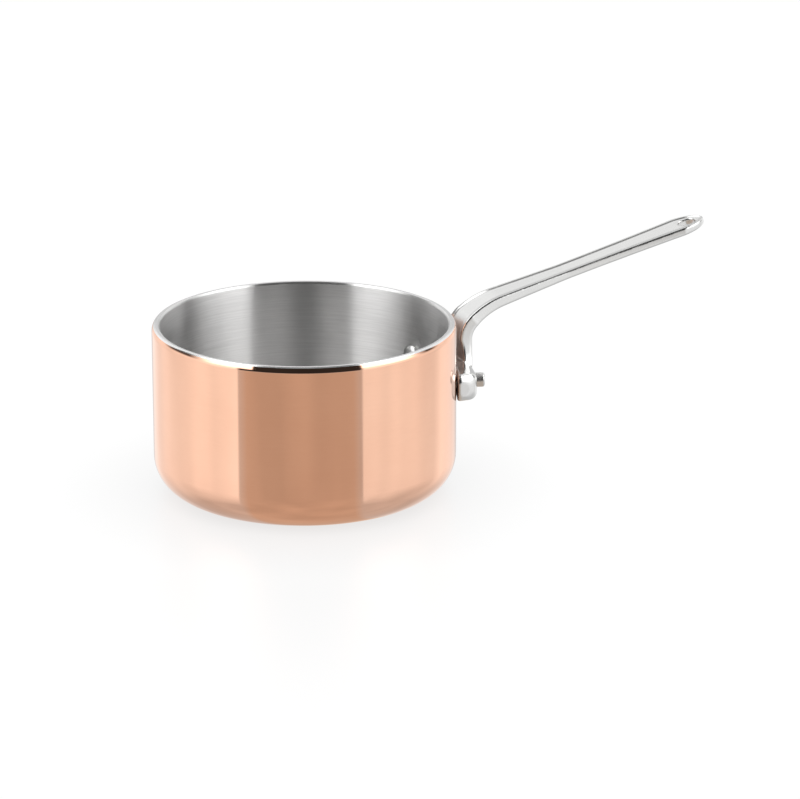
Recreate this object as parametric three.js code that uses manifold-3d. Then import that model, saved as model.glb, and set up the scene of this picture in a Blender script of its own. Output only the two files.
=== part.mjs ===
// Small open saucepan: a three-layer bonded body (copper outside, aluminium core, steel lining), a cast steel
// handle with a saddle foot, and two solid rivets that hold the foot to the wall. Millimetres, +Z up.
// The origin is the centre of the base, on the surface that the pan stands on. The handle points along +X.
import * as THREE from "three";
import { mergeVertices } from "three/addons/utils/BufferGeometryUtils.js";
import Module from "manifold-3d";

const wasm = await Module();
wasm.setup();

// ---- Driving dimensions ----

// Body
const panDiameter = 120;
const panHeight = 68;
const cornerRadius = 15; // outside, between base and wall
const copperThickness = 0.7;
const coreThickness = 1.8;
const liningThickness = 0.7;
const rimOuterWidth = 1.6; // outer edge rounding of the rim, across the wall
const rimOuterDrop = 2.6; // the same rounding, down the wall
const rimInnerRadius = 1;

// Rivets
const rivetSpacing = 38; // along the wall, centre to centre
const rivetDiameter = 5.7;
const rivetHeadDiameter = 9;
const rivetHeadHeight = 2;
const rivetStub = 3.2; // length that stands out of the foot
const rivetEdge = 0.9; // rounding of the stub's end
const fitGap = 0.3; // between two pieces that touch, and round each rivet in its holes

// Handle foot: a saddle that follows the wall
const footDrop = 27.2; // rim to the middle of the foot
const footHeight = 11;
const footThickness = 8;
const footOverhang = 5; // from the middle of each rivet's outer end to the end of the foot
const footEdge = 3; // rounding of the outer edges
const footWallEdge = 1.2; // rounding of the edges that face the wall
const rivetLift = 1.7; // rivets above the middle of the foot

// Handle leg and arm
const legStandoff = 9.6; // wall to the outer face of the leg
const legThickness = 3.8; // thinnest, above the foot
const legTopThickness = 5.5; // where the bend starts
const legSwell = 2.5; // power of the leg's growth in thickness: a higher one starts later
const legWidth = 14.5;
const legFlare = 5; // each side of the leg, where it runs into the foot
const legFlareHeight = 12;
const legTopDrop = 13.4; // rim to the start of the bend
const tightBendRadius = 10;
const tightBendAngle = 40; // heading above level where the tight bend ends, degrees
const wideBendRadius = 32;
const bendThickness = 5.6; // at the end of the tight bend
const bendWidth = 14.8;
const armAngle = 14; // heading of the straight arm above level, degrees
const armLength = 94.3; // straight part, to the tip
const armWidth = 11.2; // narrowest
const armNeck = 30; // from the bend to where the arm is narrowest
const armTaper = 0.7; // power of the arm's narrowing: under 1, most of it comes early
const armThickness = 3.5;
const armTopEdge = 0.6; // rounding of the long edges of the top face
const armBottomEdge = 1.1;
const armBorder = 2.1; // edge to the hollow of the top face
const armDish = 0.5; // depth of that hollow
const eyeWidth = 14; // widest, at the hanging hole
const tipLength = 11; // the round end
const tipThickness = 2.6;
const holeLength = 7.4;
const holeWidth = 5.6;
const holeEdge = 3.4; // metal between the hole and the tip

// Smoothness
const wallSegments = 60;
const cornerSteps = 5;
const rivetSegments = 20;

// ---- Values worked out from them ----

const outerRadius = panDiameter / 2;
const wallThickness = copperThickness + coreThickness + liningThickness;
const innerRadius = outerRadius - wallThickness;
const footInnerRadius = outerRadius + fitGap;
const footOuterRadius = footInnerRadius + footThickness;
const rivetAngle = rivetSpacing / 2 / outerRadius;
const footEnd = footOuterRadius * Math.sin(rivetAngle) + footOverhang; // from the handle's middle plane
const footMiddle = panHeight - footDrop;
const rivetLevel = footMiddle + rivetLift;
const rivetRadius = rivetDiameter / 2;
const rivetHeadRadius = rivetHeadDiameter / 2;

// ---- Solids ----

// A closed geometry as a manifold-3d solid.
function solidOf(geometry) {
  const bare = new THREE.BufferGeometry().setAttribute("position", geometry.getAttribute("position"));
  if (geometry.index) bare.setIndex(geometry.index);
  const merged = mergeVertices(bare, 1e-4);
  const corners = [];
  const index = merged.index.array;
  for (let i = 0; i < index.length; i += 3) {
    const [a, b, c] = index.slice(i, i + 3);
    if (a !== b && b !== c && c !== a) corners.push(a, b, c);
  }
  return new wasm.Manifold(
    new wasm.Mesh({
      numProp: 3,
      vertProperties: merged.getAttribute("position").array,
      triVerts: new Uint32Array(corners),
    }),
  );
}

function geometryOf(solid) {
  const { vertProperties, triVerts } = solid.getMesh();
  return new THREE.BufferGeometry()
    .setAttribute("position", new THREE.BufferAttribute(vertProperties, 3))
    .setIndex(new THREE.BufferAttribute(triVerts, 1));
}

// A solid that carries one section through a row of stations. A section point (a, b) goes to
// centre + a * across + b * up, and across x up points along the row.
function loft(section, stations) {
  const steps = stations.length - 1;
  const options = { depth: steps, steps, bevelEnabled: false, curveSegments: 4 };
  const geometry = new THREE.ExtrudeGeometry(section, options);
  const position = geometry.getAttribute("position");
  const point = new THREE.Vector3();
  for (let i = 0; i < position.count; i++) {
    const { centre, across, up } = stations[Math.round(position.getZ(i))];
    point.copy(centre).addScaledVector(across, position.getX(i)).addScaledVector(up, position.getY(i));
    position.setXYZ(i, point.x, point.y, point.z);
  }
  return solidOf(geometry);
}

// ---- Body ----

// Height of the rim's top surface at a distance from the pan's axis.
function rimHeight(radius) {
  const outward = (radius - (outerRadius - rimOuterWidth)) / rimOuterWidth;
  const inward = (innerRadius + rimInnerRadius - radius) / rimInnerRadius;
  if (outward > 0) return panHeight - rimOuterDrop * (1 - Math.sqrt(Math.max(0, 1 - outward ** 2)));
  if (inward > 0) return panHeight - rimInnerRadius * (1 - Math.sqrt(Math.max(0, 1 - inward ** 2)));
  return panHeight;
}

// Points of the surface a depth inside the pan's outer surface, from the axis to the top of the wall.
function layerSurface(depth) {
  const points = [new THREE.Vector2(0, depth)];
  for (let i = 0; i <= cornerSteps; i++) {
    const angle = (i / cornerSteps) * (Math.PI / 2);
    const radius = cornerRadius - depth;
    points.push(
      new THREE.Vector2(
        outerRadius - cornerRadius + radius * Math.sin(angle),
        cornerRadius - radius * Math.cos(angle),
      ),
    );
  }
  const top = outerRadius - depth;
  points.push(new THREE.Vector2(top, rimHeight(top)));
  return points;
}

// Points along the rim between two distances from the axis, from the outside in, without either end.
function rimBetween(outer, inner) {
  const radii = [];
  for (let i = 0; i <= cornerSteps; i++) {
    const angle = (i / cornerSteps) * (Math.PI / 2);
    radii.push(outerRadius - rimOuterWidth * (1 - Math.cos(angle)));
    radii.push(innerRadius + rimInnerRadius * (1 - Math.cos(angle)));
  }
  const margin = 0.05;
  return radii
    .filter((radius) => radius < outer - margin && radius > inner + margin)
    .sort((a, b) => b - a)
    .map((radius) => new THREE.Vector2(radius, rimHeight(radius)));
}

// One bonded layer, between two depths under the outer surface.
function layer(outerDepth, innerDepth) {
  const profile = [
    ...layerSurface(outerDepth),
    ...rimBetween(outerRadius - outerDepth, outerRadius - innerDepth),
    ...layerSurface(innerDepth).reverse(),
  ];
  return solidOf(new THREE.LatheGeometry(profile, wallSegments).rotateX(Math.PI / 2));
}

// ---- Rivets ----

// Turns a profile of (radius, distance from the pan's axis) about the X axis.
function turnedAlongX(profile) {
  return new THREE.LatheGeometry(profile, rivetSegments).rotateZ(-Math.PI / 2);
}

// The head lies flat on the curved lining, so its rim touches first.
function rivetGeometry() {
  const flatRadius = innerRadius * Math.cos(Math.PI / wallSegments); // the lining's nearest flat
  const seat = Math.sqrt(flatRadius ** 2 - rivetHeadRadius ** 2) - fitGap;
  const end = footOuterRadius + rivetStub;
  const profile = [];
  const domeSteps = 4;
  for (let i = 0; i <= domeSteps; i++) {
    const angle = (i / domeSteps) * (Math.PI / 2);
    profile.push(
      new THREE.Vector2(rivetHeadRadius * Math.sin(angle), seat - rivetHeadHeight * Math.cos(angle)),
    );
  }
  profile.push(new THREE.Vector2(rivetRadius, seat));
  const edgeSteps = 3;
  for (let i = 0; i <= edgeSteps; i++) {
    const angle = (i / edgeSteps) * (Math.PI / 2);
    profile.push(
      new THREE.Vector2(
        rivetRadius - rivetEdge * (1 - Math.cos(angle)),
        end - rivetEdge * (1 - Math.sin(angle)),
      ),
    );
  }
  profile.push(new THREE.Vector2(0, end));
  return turnedAlongX(profile);
}

// The bore that a rivet passes through, longer than the rivet at both ends.
function rivetBore(angle) {
  const radius = rivetRadius + fitGap;
  const start = innerRadius - rivetHeadHeight - wallThickness;
  const end = footOuterRadius + rivetStub + wallThickness;
  const corners = [[0, start], [radius, start], [radius, end], [0, end]];
  const profile = corners.map(([x, y]) => new THREE.Vector2(x, y));
  return solidOf(turnedAlongX(profile).rotateZ(angle).translate(0, 0, rivetLevel));
}

// ---- Handle ----

// Quarter-round falloff: 1 at the start of a fillet or the middle of a round end, 0 at its far end.
const roundOff = (share) => Math.sqrt(Math.max(0, 1 - share ** 2));
const fillet = (share) => 1 - roundOff(1 - Math.min(1, share));
const endShares = [0, 0.45, 0.75, 0.93, 0.995]; // places along a round end, as shares of its length

// The saddle: its section runs round the wall, between two ends parallel to the handle's middle plane.
function footSolid() {
  const half = footHeight / 2;
  const section = new THREE.Shape()
    .moveTo(-1 + footWallEdge / half, 0)
    .quadraticCurveTo(-1, 0, -1, footWallEdge / footThickness)
    .lineTo(-1, 1 - footEdge / footThickness)
    .quadraticCurveTo(-1, 1, -1 + footEdge / half, 1)
    .lineTo(1 - footEdge / half, 1)
    .quadraticCurveTo(1, 1, 1, 1 - footEdge / footThickness)
    .lineTo(1, footWallEdge / footThickness)
    .quadraticCurveTo(1, 0, 1 - footWallEdge / half, 0);
  const straight = footEnd - footEdge;
  const places = [];
  const middleSteps = 10;
  for (let i = 1; i < middleSteps; i++) places.push([straight * ((2 * i) / middleSteps - 1), 0]);
  for (const share of endShares) {
    const y = straight + share * footEdge;
    const rounding = 1 - roundOff(share);
    places.push([y, rounding], [-y, rounding]);
  }
  places.sort((a, b) => a[0] - b[0]);
  const stations = places.map(([y, rounding]) => {
    const inner = Math.sqrt(footInnerRadius ** 2 - y ** 2) + footWallEdge * rounding;
    const outer = Math.sqrt(footOuterRadius ** 2 - y ** 2) - footEdge * rounding;
    return {
      centre: new THREE.Vector3(inner, y, footMiddle),
      across: new THREE.Vector3(0, 0, half - footEdge * rounding),
      up: new THREE.Vector3(outer - inner, 0, 0),
    };
  });
  return loft(section, stations);
}

// Section of the leg and arm, 1 wide and 1 thick: flat sides and underside, a hollow top, four rounded edges.
function armSection() {
  const [topX, topY] = [armTopEdge / armWidth, armTopEdge / armThickness];
  const [bottomX, bottomY] = [armBottomEdge / armWidth, armBottomEdge / armThickness];
  const border = armBorder / armWidth;
  const dish = armDish / armThickness;
  return new THREE.Shape()
    .moveTo(-0.5 + bottomX, -0.5)
    .lineTo(0.5 - bottomX, -0.5)
    .quadraticCurveTo(0.5, -0.5, 0.5, -0.5 + bottomY)
    .lineTo(0.5, 0.5 - topY)
    .quadraticCurveTo(0.5, 0.5, 0.5 - topX, 0.5)
    .bezierCurveTo(0.5 - border, 0.5, 0.5 - border, 0.5 - dish, 0, 0.5 - dish)
    .bezierCurveTo(-0.5 + border, 0.5 - dish, -0.5 + border, 0.5, -0.5 + topX, 0.5)
    .quadraticCurveTo(-0.5, 0.5, -0.5, 0.5 - topY)
    .lineTo(-0.5, -0.5 + bottomY)
    .quadraticCurveTo(-0.5, -0.5, -0.5 + bottomX, -0.5);
}

// One station of the leg or arm in the handle's upright middle plane.
function armStation(x, z, heading, width, thickness) {
  return {
    centre: new THREE.Vector3(x, 0, z),
    across: new THREE.Vector3(0, width, 0),
    up: new THREE.Vector3(-Math.sin(heading) * thickness, 0, Math.cos(heading) * thickness),
  };
}

// The leg rises out of the middle of the foot, bends outward in two arcs and runs straight to the round tip.
function armStations() {
  const upward = Math.PI / 2;
  const legOuter = outerRadius + legStandoff;
  const bury = footInnerRadius + footThickness / 3; // inner face of the part sunk in the foot
  const stations = [];

  // The boss: the part inside the foot, level with the foot's outer face.
  const bossLength = footHeight / 2 - footEdge / 2;
  const bossWidth = legWidth + 2 * legFlare;
  for (const share of endShares.toReversed()) {
    const outer = footOuterRadius - footEdge * (1 - roundOff(share));
    const width = legWidth + (bossWidth - legWidth) * roundOff(share);
    const z = footMiddle - share * bossLength;
    stations.push(armStation((bury + outer) / 2, z, upward, width, outer - bury));
  }

  // The leg, which flares into the top of the foot and has a straight outer face above that.
  const legBottom = footMiddle + footHeight / 2 - footEdge;
  const legTop = panHeight - legTopDrop;
  const legSteps = 8;
  for (let i = 0; i < legSteps; i++) {
    const share = i / legSteps;
    const z = legBottom + share * (legTop - legBottom);
    const spread = fillet((z - legBottom) / legFlareHeight);
    const thickness = legThickness + (legTopThickness - legThickness) * share ** legSwell;
    const inner = legOuter - thickness - (legOuter - thickness - bury) * spread;
    const outer = legOuter - (legOuter - footOuterRadius) * spread;
    const width = legWidth + 2 * legFlare * spread;
    stations.push(armStation((inner + outer) / 2, z, upward, width, outer - inner));
  }

  // The two bends. The leg swells to its thickest and widest between them.
  const tightEnd = THREE.MathUtils.degToRad(tightBendAngle);
  const armHeading = THREE.MathUtils.degToRad(armAngle);
  const wideSwing = wideBendRadius * (tightEnd - armHeading);
  const neck = wideSwing + armNeck;
  const beyond = (reach) => Math.min(1, reach / neck) ** armTaper; // from the middle of the bend to the neck
  const sizeAt = (reach) => ({
    width: bendWidth + (armWidth - bendWidth) * beyond(reach),
    thickness: bendThickness + (armThickness - bendThickness) * beyond(reach),
  });
  let x = legOuter - legTopThickness / 2;
  let z = legTop;
  const tightSteps = 5;
  for (let i = 0; i < tightSteps; i++) {
    const share = i / tightSteps;
    const heading = upward + share * (tightEnd - upward);
    stations.push(
      armStation(
        x + tightBendRadius * (1 - Math.sin(heading)),
        z + tightBendRadius * Math.cos(heading),
        heading,
        legWidth + (bendWidth - legWidth) * share,
        legTopThickness + (bendThickness - legTopThickness) * share,
      ),
    );
  }
  x += tightBendRadius * (1 - Math.sin(tightEnd));
  z += tightBendRadius * Math.cos(tightEnd);
  const wideSteps = 4;
  for (let i = 0; i < wideSteps; i++) {
    const heading = tightEnd + (i / wideSteps) * (armHeading - tightEnd);
    const { width, thickness } = sizeAt(wideBendRadius * (tightEnd - heading));
    stations.push(
      armStation(
        x + wideBendRadius * (Math.sin(tightEnd) - Math.sin(heading)),
        z + wideBendRadius * (Math.cos(heading) - Math.cos(tightEnd)),
        heading,
        width,
        thickness,
      ),
    );
  }
  x += wideBendRadius * (Math.sin(tightEnd) - Math.sin(armHeading));
  z += wideBendRadius * (Math.cos(armHeading) - Math.cos(tightEnd));

  // The straight arm, which widens again towards the eye, and its round tip.
  const straight = armLength - tipLength;
  const [alongX, alongZ] = [Math.cos(armHeading), Math.sin(armHeading)];
  const onArm = (reach, width, thickness) =>
    armStation(x + reach * alongX, z + reach * alongZ, armHeading, width, thickness);
  const armSteps = 10;
  for (let i = 0; i < armSteps; i++) {
    const reach = (i / armSteps) * straight;
    const { width, thickness } = sizeAt(wideSwing + reach);
    const widening = Math.max(0, (reach - armNeck) / (straight - armNeck)) ** 2;
    stations.push(onArm(reach, width + (eyeWidth - armWidth) * widening, thickness));
  }
  for (const share of endShares) {
    const thickness = armThickness + (tipThickness - armThickness) * share;
    stations.push(onArm(straight + share * tipLength, eyeWidth * roundOff(share), thickness));
  }
  return stations;
}

// The long hanging hole, square to the arm, cut from a station's plane outwards.
function hangingHole(tip) {
  const radius = holeWidth / 2;
  const half = holeLength / 2 - radius;
  const outline = new THREE.Shape()
    .moveTo(-half, -radius)
    .lineTo(half, -radius)
    .absarc(half, 0, radius, -Math.PI / 2, Math.PI / 2)
    .lineTo(-half, radius)
    .absarc(-half, 0, radius, Math.PI / 2, Math.PI * 1.5);
  const depth = armThickness * 3;
  const cutter = new THREE.ExtrudeGeometry(outline, { depth, bevelEnabled: false, curveSegments: 10 });
  cutter.translate(-(holeEdge + holeLength / 2), 0, -depth / 2);
  cutter.rotateY(-THREE.MathUtils.degToRad(armAngle));
  return solidOf(cutter.translate(tip.x, tip.y, tip.z));
}

// ---- Assembly ----

const bores = [rivetAngle, -rivetAngle].map(rivetBore);
const bored = (solid) => bores.reduce((left, bore) => left.subtract(bore), solid);
const stations = armStations();
const tip = stations.at(-1).centre;
const handleSolid = bored(footSolid().add(loft(armSection(), stations)).subtract(hangingHole(tip)));

const copper = { color: 0xd99a7a, roughness: 0.12, metalness: 1 };
const aluminium = { color: 0xd8dadb, roughness: 0.3, metalness: 1 };
const brushedSteel = { color: 0xc4c3c1, roughness: 0.35, metalness: 1 };
const castSteel = { color: 0xd2d1cf, roughness: 0.2, metalness: 1 };

function piece(name, geometry, look) {
  geometry.computeVertexNormals();
  const mesh = new THREE.Mesh(geometry, new THREE.MeshStandardMaterial(look));
  mesh.name = name;
  return mesh;
}

const saucepan = new THREE.Group();
const coreDepth = copperThickness + coreThickness;
saucepan.add(
  piece("copper_shell", geometryOf(bored(layer(0, copperThickness))), copper),
  piece("aluminium_core", geometryOf(bored(layer(copperThickness, coreDepth))), aluminium),
  piece("steel_lining", geometryOf(bored(layer(coreDepth, wallThickness))), brushedSteel),
  piece("handle", geometryOf(handleSolid), castSteel),
);
for (const [name, angle] of [["rivet_left", rivetAngle], ["rivet_right", -rivetAngle]]) {
  const rivet = piece(name, rivetGeometry(), castSteel);
  rivet.position.z = rivetLevel;
  rivet.rotation.z = angle;
  saucepan.add(rivet);
}

export default saucepan;
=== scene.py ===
"""Small copper saucepan: fine surfaces, materials, stage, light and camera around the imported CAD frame."""

import math

import bpy
from mathutils import Matrix, Vector


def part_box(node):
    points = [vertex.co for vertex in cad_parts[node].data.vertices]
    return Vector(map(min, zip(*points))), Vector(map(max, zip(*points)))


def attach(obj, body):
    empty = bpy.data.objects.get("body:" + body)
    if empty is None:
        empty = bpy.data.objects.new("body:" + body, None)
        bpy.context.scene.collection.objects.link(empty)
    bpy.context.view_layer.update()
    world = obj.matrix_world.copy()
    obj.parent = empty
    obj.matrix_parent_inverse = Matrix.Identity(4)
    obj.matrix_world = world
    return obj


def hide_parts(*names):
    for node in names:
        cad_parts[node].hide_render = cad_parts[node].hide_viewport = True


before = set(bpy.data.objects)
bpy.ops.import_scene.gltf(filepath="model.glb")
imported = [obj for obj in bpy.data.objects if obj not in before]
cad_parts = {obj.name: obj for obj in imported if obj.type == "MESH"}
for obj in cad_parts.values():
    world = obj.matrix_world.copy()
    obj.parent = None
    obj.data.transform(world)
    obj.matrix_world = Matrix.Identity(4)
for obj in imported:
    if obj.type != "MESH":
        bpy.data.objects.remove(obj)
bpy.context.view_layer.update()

MM = 0.001

# ---- Sizes, in metres: places come from the frame, section sizes repeat the CAD's ----

_, copper_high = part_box("copper_shell")
_, core_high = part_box("aluminium_core")
_, lining_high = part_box("steel_lining")
handle_low, handle_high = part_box("handle")

OUTER_RADIUS = copper_high[0]
CORE_RADIUS = core_high[0]
LINING_RADIUS = lining_high[0]
PAN_HEIGHT = core_high[2]
LINING_THICKNESS = 0.7 * MM
INNER_RADIUS = LINING_RADIUS - LINING_THICKNESS
CORNER_RADIUS = 15 * MM
RIM_OUTER_WIDTH = 1.6 * MM
RIM_OUTER_DROP = 2.6 * MM
RIM_INNER_RADIUS = 1 * MM

FIT_GAP = 0.3 * MM
RIVET_ANGLE = 19 * MM / OUTER_RADIUS
RIVET_RADIUS = 2.85 * MM
RIVET_HEAD_RADIUS = 4.5 * MM
RIVET_HEAD_HEIGHT = 2 * MM
RIVET_HEAD_BORDER = 0.35 * MM
RIVET_CHAMFER_WIDTH = 0.14 * MM
RIVET_CHAMFER_HEIGHT = 0.105 * MM
RIVET_STUB = 3.2 * MM
RIVET_EDGE = 0.9 * MM
RIVET_LEVEL = sum(corner[2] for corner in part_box("rivet_left")) / 2

FOOT_HEIGHT = 11 * MM
FOOT_THICKNESS = 8 * MM
FOOT_EDGE = 3 * MM
FOOT_WALL_EDGE = 1.2 * MM
FOOT_END = handle_high[1]
FOOT_INNER = OUTER_RADIUS + FIT_GAP
FOOT_OUTER = FOOT_INNER + FOOT_THICKNESS
FOOT_MIDDLE = handle_low[2] + FOOT_HEIGHT / 2

LEG_OUTER = OUTER_RADIUS + 9.6 * MM
LEG_THICKNESS = 3.8 * MM
LEG_TOP_THICKNESS = 5.5 * MM
LEG_SWELL = 2.5
LEG_WIDTH = 14.5 * MM
LEG_FLARE = 5 * MM
LEG_FLARE_HEIGHT = 12 * MM
LEG_TOP = PAN_HEIGHT - 13.4 * MM
TIGHT_RADIUS = 10 * MM
TIGHT_HEADING = math.radians(40)
WIDE_RADIUS = 32 * MM
BEND_THICKNESS = 5.6 * MM
BEND_WIDTH = 14.8 * MM
ARM_HEADING = math.radians(14)
ARM_LENGTH = 94.3 * MM
ARM_WIDTH = 11.2 * MM
ARM_NECK = 30 * MM
ARM_TAPER = 0.7
ARM_THICKNESS = 3.5 * MM
ARM_TOP_EDGE = 0.6 * MM
ARM_BOTTOM_EDGE = 1.1 * MM
ARM_BORDER = 2.1 * MM
ARM_DISH = 0.5 * MM
EYE_WIDTH = 14 * MM
TIP_LENGTH = 11 * MM
TIP_THICKNESS = 2.6 * MM
HOLE_LENGTH = 7.4 * MM
HOLE_WIDTH = 5.6 * MM
HOLE_EDGE = 3.4 * MM

LATHE_SEGMENTS = 216
RIVET_SEGMENTS = 64
QUARTER_STEPS = 14
QUARTER = math.pi / 2
HANDLE_VOXEL = 0.24 * MM
HANDLE_SMOOTH_PASSES = 9


# ---- Mesh helpers ----


def new_object(name, vertices, faces, smooth_angle=math.radians(40)):
    mesh = bpy.data.meshes.new(name)
    mesh.from_pydata([tuple(v) for v in vertices], [], faces)
    mesh.validate()
    obj = bpy.data.objects.new(name, mesh)
    bpy.context.collection.objects.link(obj)
    shade_smooth(obj, smooth_angle)
    return obj


def shade_smooth(obj, angle):
    """Smooth shading that stays sharp where two faces meet at more than the angle."""
    mesh = obj.data
    mesh.polygons.foreach_set("use_smooth", [True] * len(mesh.polygons))
    mesh.set_sharp_from_angle(angle=angle)


def lathe(name, profile, segments=LATHE_SEGMENTS):
    """Turns a profile of (radius, height), from the axis to the axis, about Z. Its faces point outwards when
    the profile goes up the outside first."""
    vertices = []
    faces = []
    rings = []
    on_axis = 1e-7
    for radius, height in profile:
        if radius < on_axis:
            rings.append([len(vertices)])
            vertices.append((0, 0, height))
            continue
        rings.append(list(range(len(vertices), len(vertices) + segments)))
        for i in range(segments):
            angle = 2 * math.pi * i / segments
            vertices.append((radius * math.cos(angle), radius * math.sin(angle), height))
    for lower, upper in zip(rings, rings[1:]):
        for i in range(segments):
            j = (i + 1) % segments
            if len(lower) == 1:
                faces.append((lower[0], upper[j], upper[i]))
            elif len(upper) == 1:
                faces.append((lower[i], lower[j], upper[0]))
            else:
                faces.append((lower[i], lower[j], upper[j], upper[i]))
    return new_object(name, vertices, faces)


def loft(name, stations):
    """Joins rings of equal length into one closed skin with flat ends."""
    count = len(stations[0])
    vertices = [point for ring in stations for point in ring]
    faces = [tuple(reversed(range(count)))]
    for k in range(len(stations) - 1):
        for i in range(count):
            j = (i + 1) % count
            faces.append((k * count + i, k * count + j, (k + 1) * count + j, (k + 1) * count + i))
    last = (len(stations) - 1) * count
    faces.append(tuple(range(last, last + count)))
    return new_object(name, vertices, faces)


def boolean(target, tool, operation):
    modifier = target.modifiers.new(operation, "BOOLEAN")
    modifier.operation = operation
    modifier.solver = "EXACT"
    modifier.object = tool
    apply_modifiers(target)
    bpy.data.objects.remove(tool)


def apply_modifiers(obj):
    graph = bpy.context.evaluated_depsgraph_get()
    mesh = bpy.data.meshes.new_from_object(obj.evaluated_get(graph))
    obj.modifiers.clear()
    obj.data = mesh


def round_off(share):
    """Quarter round: 1 at its start, 0 at its far end."""
    return math.sqrt(max(0, 1 - share**2))


def fillet(share):
    """Hollow quarter round: 1 at its start, 0 at its far end."""
    return 1 - round_off(1 - min(1, share))


def mix(a, b, share):
    return a + (b - a) * share


# ---- Pan body ----


def rim_height(radius):
    """Height of the rim's top surface at a distance from the pan's axis."""
    outward = (radius - (OUTER_RADIUS - RIM_OUTER_WIDTH)) / RIM_OUTER_WIDTH
    inward = (INNER_RADIUS + RIM_INNER_RADIUS - radius) / RIM_INNER_RADIUS
    if outward > 0:
        return PAN_HEIGHT - RIM_OUTER_DROP * (1 - round_off(outward))
    if inward > 0:
        return PAN_HEIGHT - RIM_INNER_RADIUS * (1 - round_off(inward))
    return PAN_HEIGHT


def layer_surface(depth):
    """The surface a depth under the pan's outside, from the axis to the top of the wall, with rings close
    enough on the base and the wall for even shading."""
    base_steps = 8
    wall_steps = 6
    flat = OUTER_RADIUS - CORNER_RADIUS
    points = [(flat * i / base_steps, depth) for i in range(base_steps)]
    for i in range(QUARTER_STEPS + 1):
        angle = QUARTER * i / QUARTER_STEPS
        radius = CORNER_RADIUS - depth
        points.append((flat + radius * math.sin(angle), CORNER_RADIUS - radius * math.cos(angle)))
    wall = OUTER_RADIUS - depth
    top = rim_height(wall)
    points += [(wall, mix(CORNER_RADIUS, top, i / wall_steps)) for i in range(1, wall_steps + 1)]
    return points


def rim_between(outer, inner):
    """Points along the rim between two distances from the axis, from the outside in, without either end."""
    radii = []
    for i in range(QUARTER_STEPS + 1):
        angle = QUARTER * i / QUARTER_STEPS
        radii.append(OUTER_RADIUS - RIM_OUTER_WIDTH * (1 - math.cos(angle)))
        radii.append(INNER_RADIUS + RIM_INNER_RADIUS * (1 - math.cos(angle)))
    margin = 0.01 * MM
    inside = sorted((r for r in radii if inner + margin < r < outer - margin), reverse=True)
    return [(radius, rim_height(radius)) for radius in inside]


def pan_layer(name, node, outer, inner):
    """One bonded layer, between two distances from the axis."""
    profile = (
        layer_surface(OUTER_RADIUS - outer)
        + rim_between(outer, inner)
        + list(reversed(layer_surface(OUTER_RADIUS - inner)))
    )
    obj = lathe(name, profile)
    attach(obj, "root")
    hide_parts(node)
    return obj


# ---- Rivets ----


def rivet(name, node, angle):
    """A low dome on the lining, a shank through wall and foot, and a stub with a rounded end."""
    dome_steps = 12
    edge_steps = 8
    bite = 0.1 * MM
    seat = math.sqrt(INNER_RADIUS**2 - RIVET_HEAD_RADIUS**2) - bite
    end = FOOT_OUTER + RIVET_STUB
    profile = []
    for i in range(dome_steps + 1):
        turn = QUARTER * i / dome_steps
        rise = (RIVET_HEAD_HEIGHT - RIVET_HEAD_BORDER) * math.cos(turn)
        profile.append((RIVET_HEAD_RADIUS * math.sin(turn), seat - RIVET_HEAD_BORDER - rise))
    profile.append((RIVET_HEAD_RADIUS, seat - RIVET_CHAMFER_HEIGHT))
    profile.append((RIVET_HEAD_RADIUS - RIVET_CHAMFER_WIDTH, seat))
    profile.append((RIVET_RADIUS, seat))
    for i in range(edge_steps + 1):
        turn = QUARTER * i / edge_steps
        inset = RIVET_EDGE * (1 - math.cos(turn))
        profile.append((RIVET_RADIUS - inset, end - RIVET_EDGE * (1 - math.sin(turn))))
    profile.append((0, end))
    obj = lathe(name, profile, RIVET_SEGMENTS)
    lie_down = Matrix.Rotation(QUARTER, 4, "Y")
    obj.data.transform(Matrix.Translation((0, 0, RIVET_LEVEL)) @ Matrix.Rotation(angle, 4, "Z") @ lie_down)
    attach(obj, "root")
    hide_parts(node)
    return obj


# ---- Handle ----


def end_shares(steps):
    """Places along a round end, closer together where it closes, the last just short of its point."""
    last_turn = QUARTER * 0.97
    return [math.sin(last_turn * i / steps) for i in range(steps + 1)]


def rounded_box(right, bottom, top, bottom_radius, top_radius, along_top=()):
    """Outline of a box centred on u = 0 with rounded corners, counter-clockwise from its bottom right, with
    extra points along its top."""
    steps = 6
    corners = []
    for side, v, radius, start in (
        (1, bottom + bottom_radius, bottom_radius, -1),
        (1, top - top_radius, top_radius, 0),
        (-1, top - top_radius, top_radius, 1),
        (-1, bottom + bottom_radius, bottom_radius, 2),
    ):
        turns = [QUARTER * (start + i / steps) for i in range(steps + 1)]
        u = side * (right - radius)
        corners.append([(u + radius * math.cos(turn), v + radius * math.sin(turn)) for turn in turns])
    return corners[0] + corners[1] + list(along_top) + corners[2] + corners[3]


def foot():
    """The saddle that hugs the wall between two ends that are parallel to the handle's middle plane."""
    straight = FOOT_END - FOOT_EDGE
    half_steps = 12
    places = [(straight * (i / half_steps - 1), 0) for i in range(1, 2 * half_steps)]
    for share in end_shares(8):
        y = straight + FOOT_EDGE * share
        places += [(y, 1 - round_off(share)), (-y, 1 - round_off(share))]
    stations = []
    for y, rounding in sorted(places):
        inner = math.sqrt(FOOT_INNER**2 - y**2) + FOOT_WALL_EDGE * rounding
        outer = math.sqrt(FOOT_OUTER**2 - y**2) - FOOT_EDGE * rounding
        high = FOOT_HEIGHT / 2 - FOOT_EDGE * rounding
        outline = rounded_box(high, inner, outer, FOOT_WALL_EDGE, FOOT_EDGE)
        stations.append([Vector((depth, y, FOOT_MIDDLE + level)) for level, depth in outline])
    return loft("handle_foot", stations)


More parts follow.
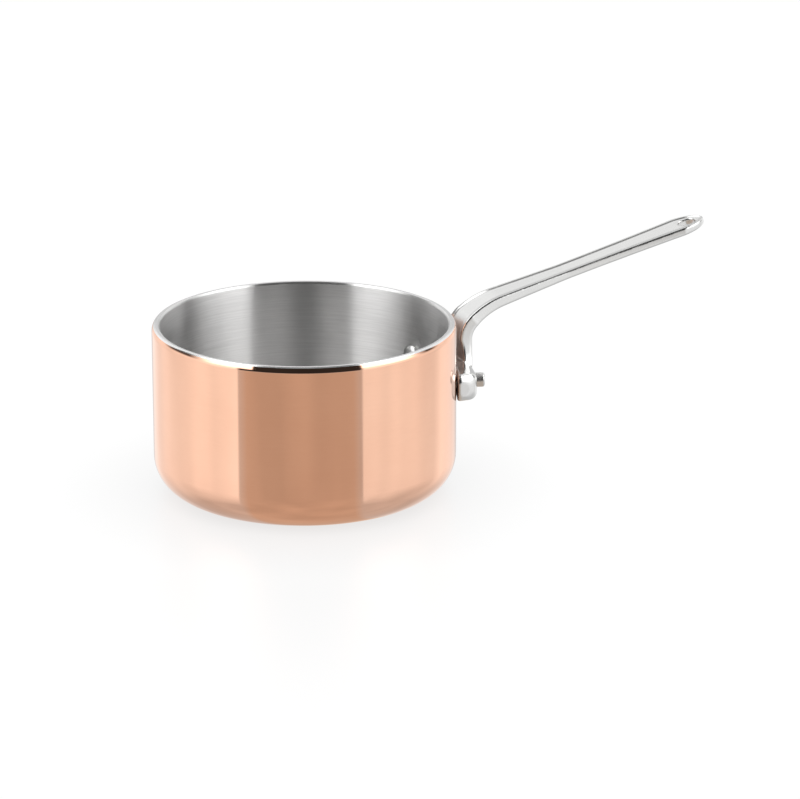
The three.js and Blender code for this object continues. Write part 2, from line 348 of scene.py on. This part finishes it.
def arm_ring(x, z, heading, width, thickness):
    """One ring of the arm: flat sides and underside, a hollow top and four rounded edges."""
    half = width / 2
    widest_edge = half * 0.45
    top_edge = min(ARM_TOP_EDGE, widest_edge)
    bottom_edge = min(ARM_BOTTOM_EDGE, widest_edge)
    crest = half - top_edge
    hollow_steps = 16
    hollow = []
    for i in range(1, hollow_steps):
        across = mix(crest, -crest, i / hollow_steps)
        share = min(1, (crest - abs(across)) / ARM_BORDER)
        hollow.append((across, thickness / 2 - ARM_DISH * share**2 * (3 - 2 * share)))
    outline = rounded_box(half, -thickness / 2, thickness / 2, bottom_edge, top_edge, hollow)
    normal = Vector((-math.sin(heading), 0, math.cos(heading)))
    centre = Vector((x, 0, z))
    return [centre + Vector((0, across, 0)) + normal * up for across, up in outline]


def leg_ring(z, inner, outer, width, follow):
    """One ring of the leg, whose outer face follows the foot's curve by a share from 0, flat, to 1."""
    ring = arm_ring((inner + outer) / 2, z, QUARTER, width, outer - inner)
    for point in ring:
        sag = FOOT_OUTER - math.sqrt(FOOT_OUTER**2 - point.y**2)
        point.x -= sag * follow * max(0, (point.x - inner) / (outer - inner))
    return ring


def arm_rings():
    """Rings from inside the foot, up the leg, round two bends and along the arm to its tip."""
    bury = FOOT_INNER + FOOT_THICKNESS / 3
    skin = 0.05 * MM
    wide = LEG_WIDTH + 2 * LEG_FLARE
    rings = [leg_ring(FOOT_MIDDLE, bury, FOOT_OUTER - FOOT_EDGE, wide, 1)]
    leg_bottom = FOOT_MIDDLE + FOOT_HEIGHT / 2 - FOOT_EDGE
    leg_steps = 24
    for i in range(leg_steps):
        share = i / leg_steps
        z = mix(leg_bottom, LEG_TOP, share)
        spread = fillet((z - leg_bottom) / LEG_FLARE_HEIGHT)
        thickness = mix(LEG_THICKNESS, LEG_TOP_THICKNESS, share**LEG_SWELL)
        inner = mix(LEG_OUTER - thickness, bury, spread)
        outer = mix(LEG_OUTER, FOOT_OUTER - skin, spread)
        rings.append(leg_ring(z, inner, outer, mix(LEG_WIDTH, wide, spread), spread))
    x = LEG_OUTER - LEG_TOP_THICKNESS / 2
    z = LEG_TOP
    tight_steps = 18
    for i in range(tight_steps):
        share = i / tight_steps
        heading = mix(QUARTER, TIGHT_HEADING, share)
        rings.append(
            arm_ring(
                x + TIGHT_RADIUS * (1 - math.sin(heading)),
                z + TIGHT_RADIUS * math.cos(heading),
                heading,
                mix(LEG_WIDTH, BEND_WIDTH, share),
                mix(LEG_TOP_THICKNESS, BEND_THICKNESS, share),
            )
        )
    x += TIGHT_RADIUS * (1 - math.sin(TIGHT_HEADING))
    z += TIGHT_RADIUS * math.cos(TIGHT_HEADING)
    swing = WIDE_RADIUS * (TIGHT_HEADING - ARM_HEADING)

    def size_at(reach):
        beyond = min(1, reach / (swing + ARM_NECK)) ** ARM_TAPER
        return mix(BEND_WIDTH, ARM_WIDTH, beyond), mix(BEND_THICKNESS, ARM_THICKNESS, beyond)

    wide_steps = 16
    for i in range(wide_steps):
        heading = mix(TIGHT_HEADING, ARM_HEADING, i / wide_steps)
        width, thickness = size_at(WIDE_RADIUS * (TIGHT_HEADING - heading))
        rings.append(
            arm_ring(
                x + WIDE_RADIUS * (math.sin(TIGHT_HEADING) - math.sin(heading)),
                z + WIDE_RADIUS * (math.cos(heading) - math.cos(TIGHT_HEADING)),
                heading,
                width,
                thickness,
            )
        )
    x += WIDE_RADIUS * (math.sin(TIGHT_HEADING) - math.sin(ARM_HEADING))
    z += WIDE_RADIUS * (math.cos(ARM_HEADING) - math.cos(TIGHT_HEADING))
    straight = ARM_LENGTH - TIP_LENGTH

    def on_arm(reach, width, thickness):
        across, up = reach * math.cos(ARM_HEADING), reach * math.sin(ARM_HEADING)
        return arm_ring(x + across, z + up, ARM_HEADING, width, thickness)

    arm_steps = 60
    for i in range(arm_steps):
        reach = straight * i / arm_steps
        width, thickness = size_at(swing + reach)
        widening = max(0, (reach - ARM_NECK) / (straight - ARM_NECK)) ** 2
        rings.append(on_arm(reach, width + (EYE_WIDTH - ARM_WIDTH) * widening, thickness))
    for share in end_shares(16):
        thickness = mix(ARM_THICKNESS, TIP_THICKNESS, share)
        rings.append(on_arm(straight + share * TIP_LENGTH, EYE_WIDTH * round_off(share), thickness))
    tip = Vector((x, 0, z)) + ARM_LENGTH * Vector((math.cos(ARM_HEADING), 0, math.sin(ARM_HEADING)))
    return rings, tip


def hanging_hole(tip):
    """Cutter for the long hole near the tip, square to the arm."""
    radius = HOLE_WIDTH / 2
    half = HOLE_LENGTH / 2 - radius
    end_steps = 16
    outline = []
    for end in (1, -1):
        for i in range(end_steps + 1):
            angle = -QUARTER + math.pi * i / end_steps
            outline.append((end * (half + radius * math.cos(angle)), end * radius * math.sin(angle)))
    along = Vector((math.cos(ARM_HEADING), 0, math.sin(ARM_HEADING)))
    normal = Vector((-math.sin(ARM_HEADING), 0, math.cos(ARM_HEADING)))
    centre = tip - along * (HOLE_EDGE + HOLE_LENGTH / 2)
    side = Vector((0, 1, 0))
    rings = [
        [centre + along * u + side * v + normal * (level * 2 * ARM_THICKNESS) for u, v in outline]
        for level in (-1, 1)
    ]
    return loft("hole_cutter", rings)


def handle():
    """Foot, leg and arm joined into one casting with softened edges."""
    rings, tip = arm_rings()
    obj = loft("saucepan_handle", rings)
    boolean(obj, foot(), "UNION")
    boolean(obj, hanging_hole(tip), "DIFFERENCE")
    remesh = obj.modifiers.new("even_skin", "REMESH")
    remesh.mode = "VOXEL"
    remesh.voxel_size = HANDLE_VOXEL
    remesh.adaptivity = 0
    soften = obj.modifiers.new("cast_edges", "SMOOTH")
    soften.factor = 0.5
    soften.iterations = HANDLE_SMOOTH_PASSES
    apply_modifiers(obj)
    shade_smooth(obj, math.pi)
    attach(obj, "root")
    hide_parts("handle")
    return obj


# ---- Materials ----


NOISE_MIDDLE = (0.3, 0.7)  # most values of a noise lie between these


class Nodes:
    """The node tree of a new material or world, built one node at a time."""

    def __init__(self, owner):
        owner.use_nodes = True
        self.owner = owner
        self.tree = owner.node_tree
        self.shader = self.tree.nodes.get("Principled BSDF")

    def add(self, kind, **settings):
        """Adds a node. A setting is one of the node's own properties, or else the name of an input."""
        node = self.tree.nodes.new(kind)
        for key, value in settings.items():
            if hasattr(node, key):
                setattr(node, key, value)
            else:
                node.inputs[key.replace("_", " ")].default_value = value
        return node

    def link(self, source, target):
        self.tree.links.new(source, target)

    def math(self, operation, first, second=None):
        node = self.add("ShaderNodeMath", operation=operation)
        for socket, value in zip(node.inputs, (first, second)):
            if isinstance(value, (int, float)):
                socket.default_value = value
            elif value is not None:
                self.link(value, socket)
        return node.outputs[0]

    def ramp(self, source, low, high, start=0.0, end=1.0):
        """Goes from low to high as the source goes from start to end, and stays there beyond them."""
        node = self.add("ShaderNodeMapRange", From_Min=start, From_Max=end, To_Min=low, To_Max=high)
        self.link(source, node.inputs["Value"])
        return node.outputs["Result"]

    def levels(self, degrees, stops):
        """A level for each angle from 0 to 180 degrees, with straight runs between the stops."""
        node = self.add("ShaderNodeValToRGB")
        self.link(self.math("DIVIDE", degrees, 180), node.inputs[0])
        points = node.color_ramp.elements
        while len(points) < len(stops):
            points.new(0.5)
        for point, (angle, level) in zip(points, stops):
            point.position = angle / 180
            point.color = (level, level, level, 1)
        return node.outputs[0]

    def blend(self, first, second, share):
        """A value that goes from the first to the second as the share goes from 0 to 1."""
        rest = self.math("SUBTRACT", 1, share)
        return self.math("ADD", self.math("MULTIPLY", first, rest), self.math("MULTIPLY", second, share))

    def colours(self, share, first, second):
        """A colour that goes from the first to the second as the share goes from 0 to 1."""
        node = self.add("ShaderNodeMix", data_type="RGBA")
        self.link(share, node.inputs[0])
        for socket, colour in ((node.inputs[6], first), (node.inputs[7], second)):
            if isinstance(colour, tuple):
                socket.default_value = (*colour, 1)
            else:
                self.link(colour, socket)
        return node.outputs[2]

    def noise(self, vector, scale, detail=3.0, roughness=0.55):
        node = self.add("ShaderNodeTexNoise", Scale=scale, Detail=detail, Roughness=roughness)
        self.link(vector, node.inputs["Vector"])
        return node.outputs["Fac"]

    def object_space(self):
        return self.add("ShaderNodeTexCoord").outputs["Object"]

    def split(self, vector):
        node = self.add("ShaderNodeSeparateXYZ")
        self.link(vector, node.inputs[0])
        return node.outputs

    def turned_space(self, around, across):
        """Coordinates for marks that run round the Z axis: slow round the axis, fast in radius and height."""
        hub = 2 * MM
        x, y, z = self.split(self.object_space())
        square = self.math("ADD", self.math("MULTIPLY", x, x), self.math("MULTIPLY", y, y))
        radius = self.math("SQRT", square)
        inverse = self.math("DIVIDE", around, self.math("MAXIMUM", radius, hub))
        joined = self.add("ShaderNodeCombineXYZ")
        self.link(self.math("MULTIPLY", x, inverse), joined.inputs[0])
        self.link(self.math("MULTIPLY", y, inverse), joined.inputs[1])
        self.link(self.math("MULTIPLY", self.math("ADD", z, radius), across), joined.inputs[2])
        return joined.outputs[0]

    def recess(self, reach, open_share, closed_share):
        """1 where other metal within reach leaves less than closed_share of the surroundings open, 0 in the
        open."""
        node = self.add("ShaderNodeAmbientOcclusion", samples=8, Distance=reach)
        return self.ramp(node.outputs["AO"], 0, 1, open_share, closed_share)

    def bump(self, height, distance, strength):
        node = self.add("ShaderNodeBump", Distance=distance, Strength=strength)
        self.link(height, node.inputs["Height"])
        self.link(node.outputs[0], self.shader.inputs["Normal"])

    def surface(self, colour=None, roughness=None, **fixed):
        if colour is not None:
            self.link(colour, self.shader.inputs["Base Color"])
        if roughness is not None:
            self.link(roughness, self.shader.inputs["Roughness"])
        for key, value in fixed.items():
            self.shader.inputs[key.replace("_", " ")].default_value = value


def turned_finish(nodes, amount):
    """Anisotropy of a surface polished or brushed round the Z axis: highlights spread across the marks."""
    tangent = nodes.add("ShaderNodeTangent", direction_type="RADIAL", axis="Z")
    nodes.link(tangent.outputs[0], nodes.shader.inputs["Tangent"])
    nodes.surface(Anisotropic=amount, Anisotropic_Rotation=0.25)


def tones(nodes, source, dark, light):
    """The two colours over the middle of a noise."""
    return nodes.colours(nodes.ramp(source, 0, 1, *NOISE_MIDDLE), dark, light)


def gloss(nodes, source, smooth, rough):
    """The two roughnesses over the middle of a noise."""
    return nodes.ramp(source, smooth, rough, *NOISE_MIDDLE)


def mixed(nodes, first, second, share):
    """A sum of two noises, with the first one's share of it."""
    return nodes.math("ADD", nodes.math("MULTIPLY", first, share), nodes.math("MULTIPLY", second, 1 - share))


def copper_material():
    """Mirror-polished copper: faint buffing rings, wipe marks and a little uneven tone."""
    nodes = Nodes(bpy.data.materials.new("mirror_copper"))
    clouds = nodes.noise(nodes.object_space(), scale=28, detail=4)
    rings = nodes.noise(nodes.turned_space(around=1.6, across=900), scale=4, detail=4, roughness=0.7)
    tone = mixed(nodes, clouds, rings, 0.7)
    colour = tones(nodes, tone, (0.90, 0.525, 0.37), (0.96, 0.585, 0.42))
    nodes.surface(colour, gloss(nodes, tone, 0.03, 0.08), Metallic=1.0)
    turned_finish(nodes, 0.2)
    nodes.bump(rings, 0.004 * MM, 0.5)
    return nodes.owner


def lining_material():
    """Steel brushed round the wall and floor: fine lines and longer, slightly brighter or duller streaks."""
    nodes = Nodes(bpy.data.materials.new("brushed_lining"))
    lines = nodes.noise(nodes.turned_space(around=2.5, across=1600), scale=1.6, detail=5, roughness=0.7)
    streaks = nodes.noise(nodes.turned_space(around=0.9, across=600), scale=2.2, detail=4, roughness=0.65)
    clouds = nodes.noise(nodes.object_space(), scale=35)
    brushing = mixed(nodes, lines, streaks, 0.5)
    colour = tones(nodes, brushing, (0.70, 0.695, 0.69), (0.87, 0.865, 0.86))
    nodes.surface(colour, gloss(nodes, mixed(nodes, streaks, clouds, 0.7), 0.30, 0.38), Metallic=1.0)
    turned_finish(nodes, 1.0)
    nodes.bump(brushing, 0.006 * MM, 0.5)
    return nodes.owner


def rim_material():
    """The layers' ground and polished edge: bright, with fine rings."""
    nodes = Nodes(bpy.data.materials.new("polished_rim"))
    rings = nodes.noise(nodes.turned_space(around=3, across=2500), scale=2, detail=4, roughness=0.7)
    colour = tones(nodes, rings, (0.78, 0.78, 0.78), (0.88, 0.88, 0.875))
    nodes.surface(colour, gloss(nodes, rings, 0.14, 0.24), Metallic=1.0)
    turned_finish(nodes, 0.4)
    nodes.bump(rings, 0.004 * MM, 0.5)
    return nodes.owner


def handle_material():
    """Polished casting: a soft ripple left by the belt, faint lengthwise lines, duller patches, and, in the
    gap behind the leg and other recesses found by ambient occlusion, painted shade that darkens the colour,
    with a rougher skin."""
    nodes = Nodes(bpy.data.materials.new("polished_casting"))
    space = nodes.object_space()
    ripple = nodes.noise(space, scale=120, detail=2)
    stretch = nodes.add("ShaderNodeMapping", Scale=(60, 2200, 700))
    nodes.link(space, stretch.inputs["Vector"])
    lines = nodes.noise(stretch.outputs[0], scale=1, roughness=0.7)
    patches = nodes.noise(space, scale=45, detail=4)
    tone = mixed(nodes, lines, patches, 0.35)
    polished = tones(nodes, tone, (0.70, 0.70, 0.695), (0.79, 0.79, 0.78))
    # Painted shade: ambient occlusion darkens the colour in the gap behind the leg and other recesses; the
    # same mask makes the skin rougher
    painted_shade_and_dullness = nodes.recess(reach=14 * MM, open_share=0.62, closed_share=0.36)
    painted_shade_colour, unpolished_roughness = (0.40, 0.39, 0.39), 0.6
    colour = nodes.colours(painted_shade_and_dullness, polished, painted_shade_colour)
    roughness = nodes.blend(gloss(nodes, tone, 0.12, 0.22), unpolished_roughness, painted_shade_and_dullness)
    nodes.surface(colour, roughness, Metallic=1.0)
    nodes.bump(mixed(nodes, ripple, lines, 0.85), 0.03 * MM, 0.35)
    return nodes.owner


def rivet_material():
    """Solid steel rivet: a peened face with small dents and uneven patches of tone."""
    nodes = Nodes(bpy.data.materials.new("rivet_steel"))
    space = nodes.object_space()
    dents = nodes.noise(space, scale=500, detail=2)
    patches = nodes.noise(space, scale=160, detail=4)
    colour = tones(nodes, patches, (0.66, 0.66, 0.655), (0.80, 0.80, 0.79))
    nodes.surface(colour, gloss(nodes, patches, 0.28, 0.42), Metallic=1.0)
    nodes.bump(dents, 0.03 * MM, 0.4)
    return nodes.owner


def dress(obj, material):
    obj.data.materials.clear()
    obj.data.materials.append(material)


# ---- Object ----

dress(pan_layer("pan_copper", "copper_shell", OUTER_RADIUS, CORE_RADIUS), copper_material())
dress(pan_layer("pan_core", "aluminium_core", CORE_RADIUS, LINING_RADIUS), rim_material())
dress(pan_layer("pan_lining", "steel_lining", LINING_RADIUS, INNER_RADIUS), lining_material())
dress(handle(), handle_material())
rivet_steel = rivet_material()
for side, turn in (("left", RIVET_ANGLE), ("right", -RIVET_ANGLE)):
    dress(rivet("pan_rivet_" + side, "rivet_" + side, turn), rivet_steel)

# ---- Camera ----

CAMERA_AZIMUTH = math.radians(-22.94)
CAMERA_ELEVATION = math.radians(17.95)
CAMERA_DISTANCE = 1.5736
CAMERA_LENS = 180
aim = Vector((31.1, -23.3, 39.1)) * MM

back = Vector(
    (
        math.sin(CAMERA_AZIMUTH) * math.cos(CAMERA_ELEVATION),
        -math.cos(CAMERA_AZIMUTH) * math.cos(CAMERA_ELEVATION),
        math.sin(CAMERA_ELEVATION),
    )
)
camera_data = bpy.data.cameras.new("camera")
camera_data.lens = CAMERA_LENS
camera_data.sensor_width = 36
camera_data.sensor_fit = "HORIZONTAL"
camera_data.clip_end = 20
camera = bpy.data.objects.new("camera", camera_data)
bpy.context.collection.objects.link(camera)
camera.location = aim + back * CAMERA_DISTANCE
camera.rotation_euler = back.to_track_quat("Z", "Y").to_euler()
bpy.context.scene.camera = camera

# ---- Stage and light ----


def stage_floor():
    """A pale glowing sheet with a soft gloss; its glow is painted darker where the pan stands close over it,
    a painted contact shadow.
    """
    size = 3.0
    clearance = 0.02 * MM
    darkest, brightest = 0.84, 1.05
    corners = [(-size, -size, 0), (size, -size, 0), (size, size, 0), (-size, size, 0)]
    floor = new_object("floor", corners, [(0, 1, 2, 3)])
    floor.location.z = -clearance
    nodes = Nodes(bpy.data.materials.new("pale_sheet"))
    shade = nodes.add("ShaderNodeAmbientOcclusion", samples=16, Distance=50 * MM)
    glow = nodes.add("ShaderNodeEmission")
    # Painted contact shadow: ambient occlusion dims the sheet's glow near the pan
    nodes.link(nodes.ramp(shade.outputs["AO"], darkest, brightest), glow.inputs["Strength"])
    sheen = nodes.add("ShaderNodeBsdfGlossy", Roughness=0.36)
    both = nodes.add("ShaderNodeMixShader", Fac=0.10)
    nodes.tree.nodes.remove(nodes.shader)
    nodes.link(glow.outputs[0], both.inputs[1])
    nodes.link(sheen.outputs[0], both.inputs[2])
    nodes.link(both.outputs[0], nodes.tree.nodes["Material Output"].inputs["Surface"])
    floor.data.materials.append(nodes.owner)
    floor.visible_glossy = False
    floor.visible_diffuse = False


def studio_world():
    """Two large soft panels, left and right, with a dimmer gap between them, and a bright back. The panels'
    edges follow the cones in which an upright wall turned about Z spreads one line of sight, so that each
    edge stays upright on the pan."""
    world = bpy.data.worlds.new("studio")
    bpy.context.scene.world = world
    nodes = Nodes(world)
    nodes.tree.nodes.clear()
    gap_turn = math.radians(2.1)
    backdrop = 1.03
    sight = nodes.add("ShaderNodeTexCoord").outputs["Generated"]
    turn = nodes.add("ShaderNodeVectorRotate", rotation_type="Z_AXIS", Angle=gap_turn - CAMERA_AZIMUTH)
    nodes.link(sight, turn.inputs["Vector"])
    x, y, z = nodes.split(turn.outputs[0])

    # Angles in degrees: round the pan from the middle of the gap, and above level
    nearer = nodes.math("SUBTRACT", math.cos(CAMERA_ELEVATION), y)
    half_turn = nodes.math("ARCTAN2", nodes.math("ABSOLUTE", x), nearer)
    around = nodes.math("MULTIPLY", half_turn, 2 * math.degrees(1))
    up = nodes.math("MULTIPLY", nodes.math("ARCSINE", z), math.degrees(1))

    table = nodes.levels(around, [(0, 0.57), (46.98, 0.61), (48.24, 1.12), (108, 1.02), (180, 0.8)])
    table = nodes.math("MULTIPLY", table, nodes.ramp(x, 1, 0.9, 0.66, 0.72))
    panels = nodes.levels(around, [(0, 0.03), (45.9, 0.03), (49.5, 1.4), (108, 1.0), (180, 1.0)])
    skewed = nodes.math("SUBTRACT", around, nodes.math("MULTIPLY", x, 9))
    overhead = [(0, 0.03), (40.5, 0.03), (41.76, 2.5), (77.4, 2.5), (90, 1.2), (102.6, 0.1), (180, 0.1)]
    behind = nodes.math("MULTIPLY", nodes.ramp(y, 1.05, 0.65, 0.88, 0.95), nodes.ramp(up, 1, 0.3, 43.2, 54))
    level = nodes.blend(table, panels, nodes.ramp(up, 0, 1, -8.64, -5.76))
    level = nodes.blend(level, nodes.levels(skewed, overhead), nodes.ramp(up, 0, 1, 5.4, 18))
    level = nodes.blend(level, behind, nodes.ramp(y, 0, 1, 0.45, 0.6))
    level = nodes.blend(level, 0.61, nodes.ramp(up, 1, 0, -46.8, -19.8))
    level = nodes.blend(level, 0.35, nodes.ramp(up, 0, 1, 64.8, 81))
    clouds = nodes.noise(sight, scale=2.4, detail=1, roughness=0.5)
    level = nodes.math("MULTIPLY", level, nodes.ramp(clouds, 0.92, 1.08, *NOISE_MIDDLE))

    # The gap shows a warmer room below eye level
    low = nodes.ramp(up, 1, 0, -14.4, -7.2)
    warmth = nodes.math("MULTIPLY", nodes.ramp(around, 1, 0, 40.5, 47.16), low)
    tint = nodes.colours(warmth, (1, 1, 1), (1, 0.85, 0.72))

    seen_directly = nodes.add("ShaderNodeLightPath").outputs["Is Camera Ray"]
    background = nodes.add("ShaderNodeBackground")
    nodes.link(tint, background.inputs["Color"])
    nodes.link(nodes.blend(level, backdrop, seen_directly), background.inputs["Strength"])
    out = nodes.add("ShaderNodeOutputWorld")
    nodes.link(background.outputs[0], out.inputs["Surface"])


stage_floor()
studio_world()
bpy.context.scene.view_settings.view_transform = "Standard"
bpy.context.scene.view_settings.look = "None"
